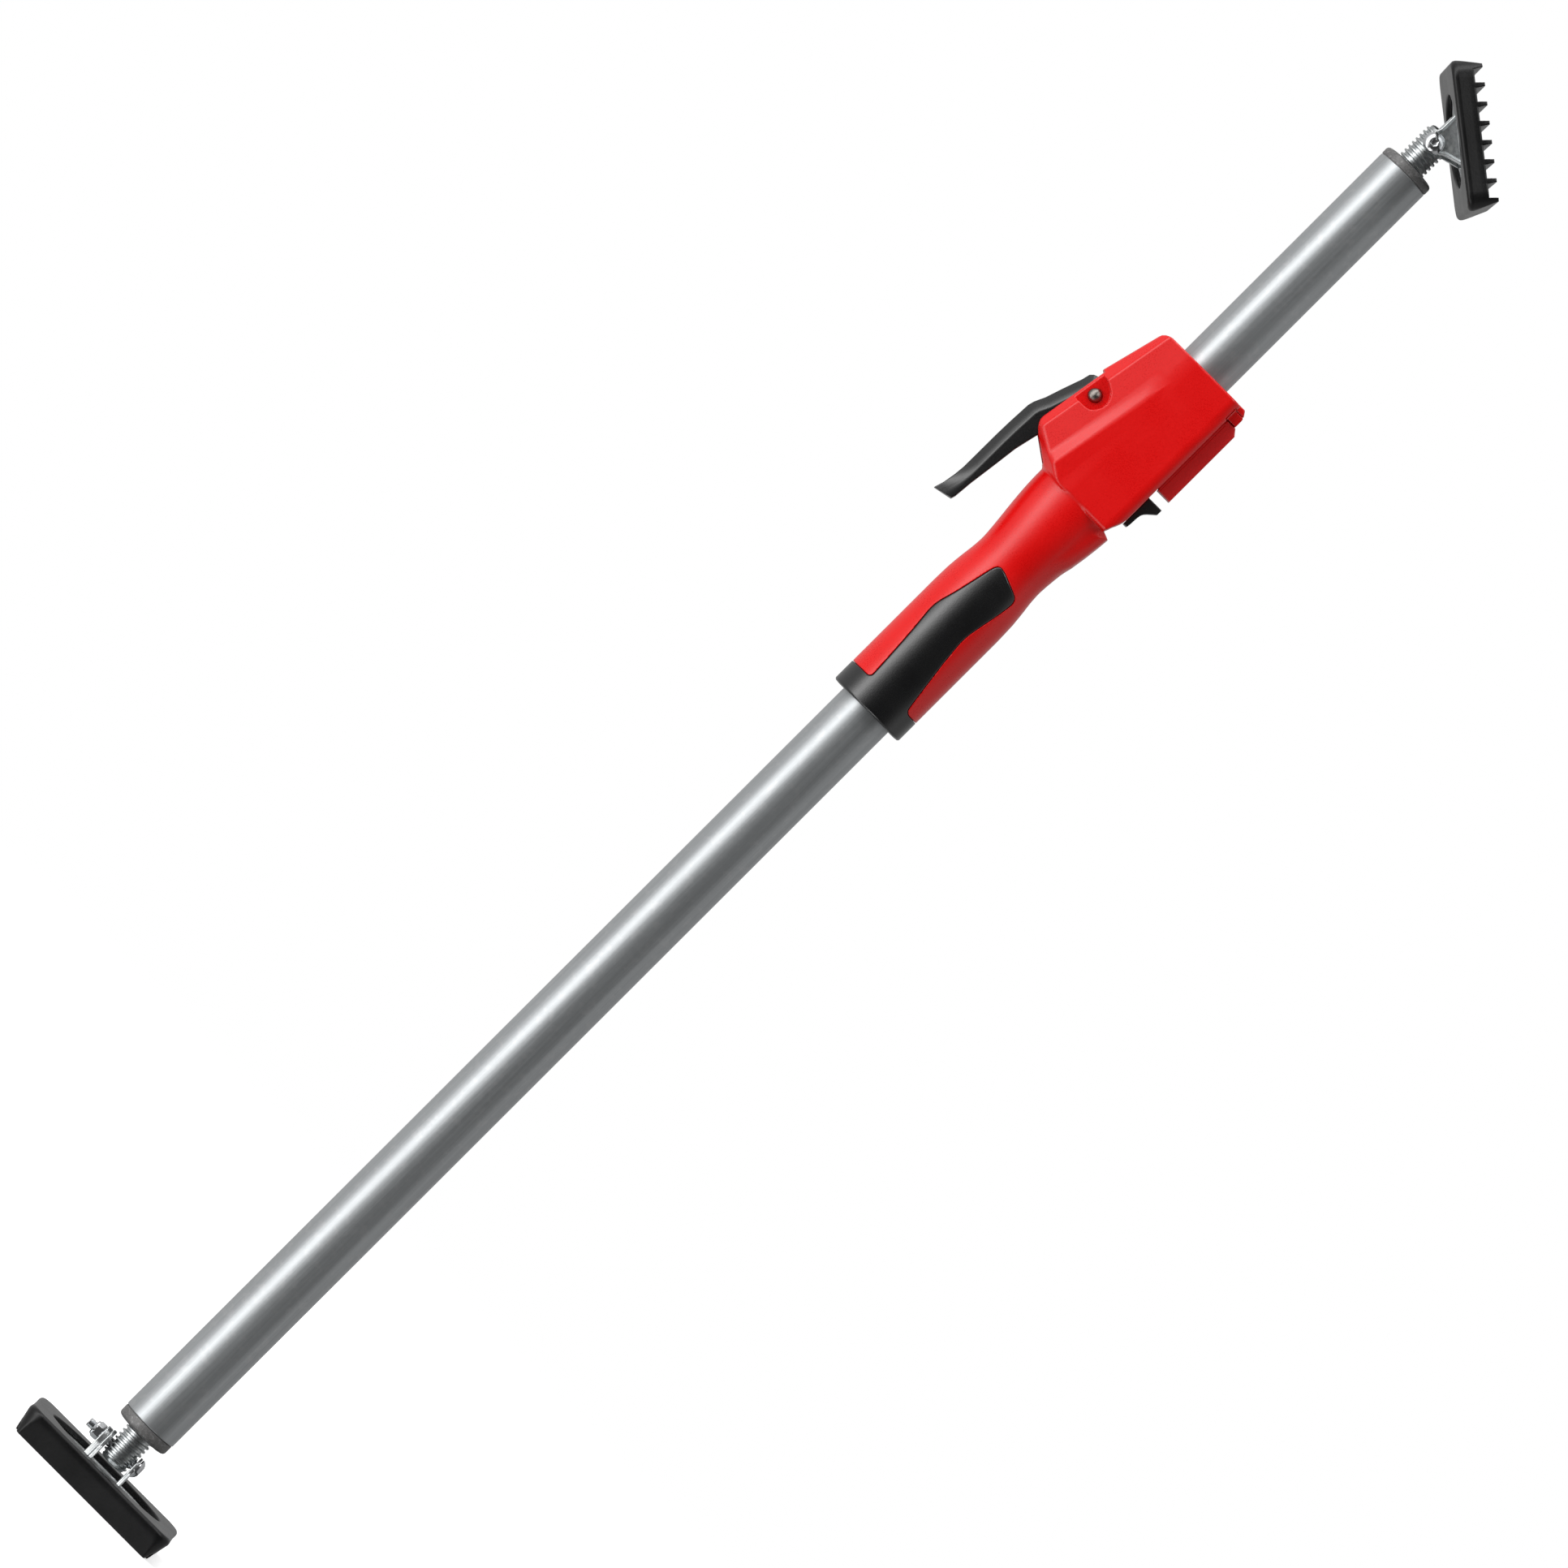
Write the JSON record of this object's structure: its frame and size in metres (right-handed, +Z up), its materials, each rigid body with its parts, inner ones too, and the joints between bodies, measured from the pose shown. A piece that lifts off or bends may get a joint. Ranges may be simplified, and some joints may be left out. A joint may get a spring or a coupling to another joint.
{
  "type": "telescopic support pole",
  "caption": "Telescopic one-hand pump support pole with tilting ribbed pads, threaded spindles, a squeeze lever, a release button and a thumb lock.",
  "frame": {"origin": "on the pole's axis, in the plane of the foot pad's rib tips", "axes": "+Z up along the pole, -X towards the pump lever, +X towards the release button, +Y to the back"},
  "size_m": [0.0999, 0.094, 0.9546],
  "materials": {
    "tube_steel": "satin drawn tube with a fine lengthways grain",
    "plug_metal": "dark grey grained collar",
    "red_housing": "fine spark-eroded grain",
    "red_button": "fine spark-eroded grain",
    "soft_grip": "matt soft overmould",
    "black_plastic": "fine grain",
    "bush_plastic": "natural",
    "plate_steel": "ground",
    "spring_steel": "drawn",
    "pin_steel": "turned",
    "screw_steel": "black zinc",
    "zinc_plated": "zinc plated",
    "bright_zinc": "bright zinc",
    "pad_pvc": "grained soft PVC"
  },
  "bodies": {
    "root": {"lower_tube": "tube_steel", "foot_end_plug": "plug_metal", "housing_front": "red_housing", "housing_rear": "red_housing", "housing_screws": "screw_steel", "grip_overmould": "soft_grip", "lower_guide_bush": "bush_plastic", "upper_guide_bush": "bush_plastic", "brake_spring": "spring_steel", "drive_spring": "spring_steel", "lever_pin": "pin_steel", "button_pin": "pin_steel"},
    "foot_guide": {"foot_guide_ring": "bush_plastic"},
    "foot_screw": {"foot_spindle": "zinc_plated", "foot_circlip": "spring_steel"},
    "foot_pad": {"foot_pad_cover": "pad_pvc", "foot_bracket": "zinc_plated", "foot_bolt": "bright_zinc", "foot_locknut": "bright_zinc"},
    "upper_tube": {"upper_tube": "tube_steel", "tube_glide_ring": "bush_plastic", "head_end_plug": "plug_metal"},
    "head_guide": {"head_guide_ring": "bush_plastic"},
    "head_screw": {"head_spindle": "zinc_plated", "head_circlip": "spring_steel"},
    "head_pad": {"head_pad_cover": "pad_pvc", "head_bracket": "zinc_plated", "head_bolt": "bright_zinc", "head_locknut": "bright_zinc"},
    "pump_lever": {"pump_lever": "black_plastic"},
    "drive_plate": {"drive_plate": "plate_steel"},
    "release_button": {"release_button": "red_button"},
    "brake_plate": {"brake_plate": "plate_steel"},
    "lock_slide": {"lock_slide": "black_plastic"}
  },
  "joints": [
    {"name": "extension", "type": "slide", "parent": "root", "child": "upper_tube", "axis": [0, 0, 1], "range_m": [-0.12, 0.35]},
    {"name": "pump_lever_swing", "type": "hinge", "parent": "root", "child": "pump_lever", "pos_m": [-0.0291, 0, 0.714], "axis": [0, -1, 0], "range_deg": [0, 16], "stiffness_Nm_per_rad": 3, "springref_deg": -17.19},
    {"name": "drive_lift", "type": "slide", "parent": "root", "child": "drive_plate", "axis": [0, 0, 1], "range_m": [0, 0.004], "deforming": ["drive_spring"]},
    {"name": "button_press", "type": "hinge", "parent": "root", "child": "release_button", "pos_m": [0.0264, 0, 0.7548], "axis": [0, 1, 0], "range_deg": [0, 4], "stiffness_Nm_per_rad": 2, "springref_deg": -6.88},
    {"name": "brake_swing", "type": "hinge", "parent": "root", "child": "brake_plate", "pos_m": [-0.019, 0, 0.704], "axis": [0, -1, 0], "range_deg": [0, 4], "deforming": ["brake_spring"]},
    {"name": "lock_travel", "type": "slide", "parent": "root", "child": "lock_slide", "axis": [0, 0, 1], "range_m": [0, 0.004]},
    {"name": "foot_screw_travel", "type": "slide", "parent": "root", "child": "foot_guide", "axis": [0, 0, 1], "range_m": [-0.025, 0.005]},
    {"name": "foot_screw_turn", "type": "hinge", "parent": "foot_guide", "child": "foot_screw", "pos_m": [0, 0, 0.025], "axis": [0, 0, 1], "range_deg": [-3600, 720]},
    {"name": "foot_tilt", "type": "hinge", "parent": "foot_screw", "child": "foot_pad", "pos_m": [0, 0, 0.025], "axis": [1, 0, 0], "range_deg": [-45, 45]},
    {"name": "head_screw_travel", "type": "slide", "parent": "upper_tube", "child": "head_guide", "axis": [0, 0, 1], "range_m": [-0.005, 0.025]},
    {"name": "head_screw_turn", "type": "hinge", "parent": "head_guide", "child": "head_screw", "pos_m": [0, 0, 0.9145], "axis": [0, 0, 1], "range_deg": [-720, 3600]},
    {"name": "head_tilt", "type": "hinge", "parent": "head_screw", "child": "head_pad", "pos_m": [0, 0, 0.9145], "axis": [0, 1, 0], "range_deg": [-83, 7]}
  ],
  "couplings": [
    {"joint": "drive_lift", "follows": "pump_lever_swing", "m_per_rad": 0.0135},
    {"joint": "brake_swing", "follows": "button_press", "ratio": 1},
    {"joint": "foot_screw_turn", "follows": "foot_screw_travel", "rad_per_m": 2513.3},
    {"joint": "head_screw_turn", "follows": "head_screw_travel", "rad_per_m": 2513.3}
  ]
}
